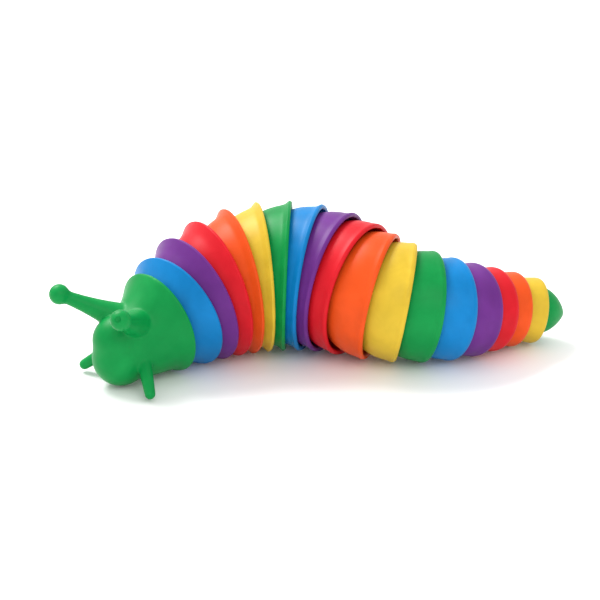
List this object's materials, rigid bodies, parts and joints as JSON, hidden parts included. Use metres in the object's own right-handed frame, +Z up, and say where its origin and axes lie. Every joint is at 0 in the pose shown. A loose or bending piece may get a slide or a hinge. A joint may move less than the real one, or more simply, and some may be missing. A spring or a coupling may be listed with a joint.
{
  "type": "articulated slug fidget toy",
  "caption": "Articulated fidget slug with a bell-shaped head, stalk eyes and a tapering body of nested rainbow rings joined by swivels, so it bends and wriggles.",
  "frame": {"origin": "on the floor, at the middle of the toy's bounding box in its resting S-curve", "axes": "+Z up, +X towards the tail, the head looks towards -X and -Y"},
  "size_m": [0.148, 0.0711, 0.0439],
  "materials": {
    "green_plastic": "satin moulded plastic",
    "blue_plastic": "satin moulded plastic",
    "purple_plastic": "satin moulded plastic",
    "red_plastic": "satin moulded plastic",
    "orange_plastic": "satin moulded plastic",
    "yellow_plastic": "satin moulded plastic",
    "link_plastic": "plain moulded plastic"
  },
  "bodies": {
    "head": {"head": "green_plastic"},
    "ring_01": {"ring_01_blue": "blue_plastic"},
    "ring_02": {"ring_02_purple": "purple_plastic"},
    "ring_03": {"ring_03_red": "red_plastic"},
    "ring_04": {"ring_04_orange": "orange_plastic"},
    "ring_05": {"ring_05_yellow": "yellow_plastic"},
    "ring_06": {"ring_06_green": "green_plastic"},
    "ring_07": {"ring_07_blue": "blue_plastic"},
    "ring_08": {"ring_08_purple": "purple_plastic"},
    "ring_09": {"ring_09_red": "red_plastic"},
    "ring_10": {"ring_10_orange": "orange_plastic"},
    "ring_11": {"ring_11_yellow": "yellow_plastic"},
    "ring_12": {"ring_12_green": "green_plastic"},
    "ring_13": {"ring_13_blue": "blue_plastic"},
    "ring_14": {"ring_14_purple": "purple_plastic"},
    "ring_15": {"ring_15_red": "red_plastic"},
    "ring_16": {"ring_16_orange": "orange_plastic"},
    "ring_17": {"ring_17_yellow": "yellow_plastic"},
    "tail": {"tail": "green_plastic"},
    "link_01": {"link_01": "link_plastic"},
    "link_02": {"link_02": "link_plastic"},
    "link_03": {"link_03": "link_plastic"},
    "link_04": {"link_04": "link_plastic"},
    "link_05": {"link_05": "link_plastic"},
    "link_06": {"link_06": "link_plastic"},
    "link_07": {"link_07": "link_plastic"},
    "link_08": {"link_08": "link_plastic"},
    "link_09": {"link_09": "link_plastic"},
    "link_10": {"link_10": "link_plastic"},
    "link_11": {"link_11": "link_plastic"},
    "link_12": {"link_12": "link_plastic"},
    "link_13": {"link_13": "link_plastic"},
    "link_14": {"link_14": "link_plastic"},
    "link_15": {"link_15": "link_plastic"},
    "link_16": {"link_16": "link_plastic"},
    "link_17": {"link_17": "link_plastic"},
    "link_18": {"link_18": "link_plastic"}
  },
  "joints": [
    {"name": "yaw_01", "type": "hinge", "parent": "head", "child": "link_01", "pos_m": [-0.0402, -0.0026, 0.01618], "axis": [-0.1521, -0.1418, 0.9781], "range_deg": [-12.67, 6.89]},
    {"name": "nod_01", "type": "hinge", "parent": "link_01", "child": "ring_01", "pos_m": [-0.0402, -0.0026, 0.01618], "axis": [-0.7172, 0.6968, -0.0105], "range_deg": [-0.96, 9]},
    {"name": "yaw_02", "type": "hinge", "parent": "ring_01", "child": "link_02", "pos_m": [-0.03539, 0.00238, 0.01816], "axis": [-0.1993, -0.1907, 0.9612], "range_deg": [-2.03, 17.52]},
    {"name": "nod_02", "type": "hinge", "parent": "link_02", "child": "ring_02", "pos_m": [-0.03539, 0.00238, 0.01816], "axis": [-0.6207, 0.7836, 0.0268], "range_deg": [-6.92, 3.04]},
    {"name": "yaw_03", "type": "hinge", "parent": "ring_02", "child": "link_03", "pos_m": [-0.02989, 0.00668, 0.0199], "axis": [-0.1736, -0.1706, 0.9699], "range_deg": [-1.78, 17.78]},
    {"name": "nod_03", "type": "hinge", "parent": "link_03", "child": "ring_03", "pos_m": [-0.02989, 0.00668, 0.0199], "axis": [-0.5083, 0.8591, 0.0602], "range_deg": [-8.63, 1.33]},
    {"name": "yaw_04", "type": "hinge", "parent": "ring_03", "child": "link_04", "pos_m": [-0.02375, 0.01022, 0.02116], "axis": [-0.1196, -0.1396, 0.983], "range_deg": [-2.19, 23.55]},
    {"name": "nod_04", "type": "hinge", "parent": "link_04", "child": "ring_04", "pos_m": [-0.02375, 0.01022, 0.02116], "axis": [-0.3414, 0.9355, 0.0913], "range_deg": [-8.17, 1.79]},
    {"name": "yaw_05", "type": "hinge", "parent": "ring_04", "child": "link_05", "pos_m": [-0.017, 0.01262, 0.02191], "axis": [-0.0675, -0.1213, 0.9903], "range_deg": [-1.43, 23.09]},
    {"name": "nod_05", "type": "hinge", "parent": "link_05", "child": "ring_05", "pos_m": [-0.017, 0.01262, 0.02191], "axis": [-0.1593, 0.9812, 0.1093], "range_deg": [-7.9, 2.06]},
    {"name": "yaw_06", "type": "hinge", "parent": "ring_05", "child": "link_06", "pos_m": [-0.00989, 0.01374, 0.02216], "axis": [-0.0172, -0.1134, 0.9934], "range_deg": [-0.58, 23.34]},
    {"name": "nod_06", "type": "hinge", "parent": "link_06", "child": "ring_06", "pos_m": [-0.00989, 0.01374, 0.02216], "axis": [0.0387, 0.9927, 0.114], "range_deg": [-7.72, 2.24]},
    {"name": "yaw_07", "type": "hinge", "parent": "ring_06", "child": "link_07", "pos_m": [-0.0027, 0.01349, 0.02191], "axis": [0.0307, -0.1152, 0.9929], "range_deg": [-0.68, 23.16]},
    {"name": "nod_07", "type": "hinge", "parent": "link_07", "child": "ring_07", "pos_m": [-0.0027, 0.01349, 0.02191], "axis": [0.2327, 0.9669, 0.105], "range_deg": [-6.75, 3.21]},
    {"name": "yaw_08", "type": "hinge", "parent": "ring_07", "child": "link_08", "pos_m": [0.00429, 0.01188, 0.02128], "axis": [0.0607, -0.1222, 0.9906], "range_deg": [-0.97, 23.31]},
    {"name": "nod_08", "type": "hinge", "parent": "link_08", "child": "ring_08", "pos_m": [0.00429, 0.01188, 0.02128], "axis": [0.4163, 0.9052, 0.0862], "range_deg": [-6.91, 3.05]},
    {"name": "yaw_09", "type": "hinge", "parent": "ring_08", "child": "link_09", "pos_m": [0.0108, 0.00898, 0.02028], "axis": [0.0913, -0.1359, 0.9865], "range_deg": [-7.58, 17.6]},
    {"name": "nod_09", "type": "hinge", "parent": "link_09", "child": "ring_09", "pos_m": [0.0108, 0.00898, 0.02028], "axis": [0.4937, 0.8665, 0.0737], "range_deg": [-5.58, 4.38]},
    {"name": "yaw_10", "type": "hinge", "parent": "ring_09", "child": "link_10", "pos_m": [0.01702, 0.00553, 0.01915], "axis": [0.1003, -0.1409, 0.9849], "range_deg": [-25.77, 0.91]},
    {"name": "nod_10", "type": "hinge", "parent": "link_10", "child": "ring_10", "pos_m": [0.01702, 0.00553, 0.01915], "axis": [0.2961, 0.9493, 0.1056], "range_deg": [-7.12, 2.84]},
    {"name": "yaw_11", "type": "hinge", "parent": "ring_10", "child": "link_11", "pos_m": [0.02383, 0.00354, 0.0179], "axis": [0.1357, -0.1513, 0.9791], "range_deg": [-26.57, 1.67]},
    {"name": "nod_11", "type": "hinge", "parent": "link_11", "child": "ring_11", "pos_m": [0.02383, 0.00354, 0.0179], "axis": [0.0853, 0.9864, 0.1406], "range_deg": [-6.62, 3.34]},
    {"name": "yaw_12", "type": "hinge", "parent": "ring_11", "child": "link_12", "pos_m": [0.03091, 0.00311, 0.01664], "axis": [0.1639, -0.1531, 0.9745], "range_deg": [-26.5, 1.74]},
    {"name": "nod_12", "type": "hinge", "parent": "link_12", "child": "ring_12", "pos_m": [0.03091, 0.00311, 0.01664], "axis": [-0.1274, 0.9763, 0.1748], "range_deg": [-7.06, 2.9]},
    {"name": "yaw_13", "type": "hinge", "parent": "ring_12", "child": "link_13", "pos_m": [0.0379, 0.00425, 0.01538], "axis": [0.1993, -0.1474, 0.9688], "range_deg": [-26.42, 1.82]},
    {"name": "nod_13", "type": "hinge", "parent": "link_13", "child": "ring_13", "pos_m": [0.0379, 0.00425, 0.01538], "axis": [-0.3314, 0.9202, 0.2082], "range_deg": [-7.49, 2.47]},
    {"name": "yaw_14", "type": "hinge", "parent": "ring_13", "child": "link_14", "pos_m": [0.04447, 0.00691, 0.0141], "axis": [0.2395, -0.1314, 0.962], "range_deg": [-23.06, 3.91]},
    {"name": "nod_14", "type": "hinge", "parent": "link_14", "child": "ring_14", "pos_m": [0.04447, 0.00691, 0.0141], "axis": [-0.4786, 0.8461, 0.2347], "range_deg": [-7.26, 2.7]},
    {"name": "yaw_15", "type": "hinge", "parent": "ring_14", "child": "link_15", "pos_m": [0.05048, 0.01066, 0.01282], "axis": [0.273, -0.1107, 0.9556], "range_deg": [-10.92, 14.77]},
    {"name": "nod_15", "type": "hinge", "parent": "link_15", "child": "ring_15", "pos_m": [0.05048, 0.01066, 0.01282], "axis": [-0.4503, 0.8631, 0.2286], "range_deg": [-4.58, 5.38]},
    {"name": "yaw_16", "type": "hinge", "parent": "ring_15", "child": "link_16", "pos_m": [0.05662, 0.0142, 0.01153], "axis": [0.267, -0.1142, 0.9569], "range_deg": [-4.5, 19.89]},
    {"name": "nod_16", "type": "hinge", "parent": "link_16", "child": "ring_16", "pos_m": [0.05662, 0.0142, 0.01153], "axis": [-0.3322, 0.9212, 0.2026], "range_deg": [-3.31, 6.65]},
    {"name": "yaw_17", "type": "hinge", "parent": "ring_16", "child": "link_17", "pos_m": [0.06318, 0.01686, 0.01024], "axis": [0.2406, -0.125, 0.9626], "range_deg": [-3.81, 19.28]},
    {"name": "nod_17", "type": "hinge", "parent": "link_17", "child": "ring_17", "pos_m": [0.06318, 0.01686, 0.01024], "axis": [-0.2064, 0.9624, 0.1765], "range_deg": [-3.52, 6.44]},
    {"name": "yaw_18", "type": "hinge", "parent": "ring_17", "child": "link_18", "pos_m": [0.07005, 0.01857, 0.00893], "axis": [0.2164, -0.1311, 0.9675], "range_deg": [-3.12, 18.66]},
    {"name": "nod_18", "type": "hinge", "parent": "link_18", "child": "tail", "pos_m": [0.07005, 0.01857, 0.00893], "axis": [-0.0756, 0.9857, 0.1504], "range_deg": [-3.73, 6.23]}
  ]
}
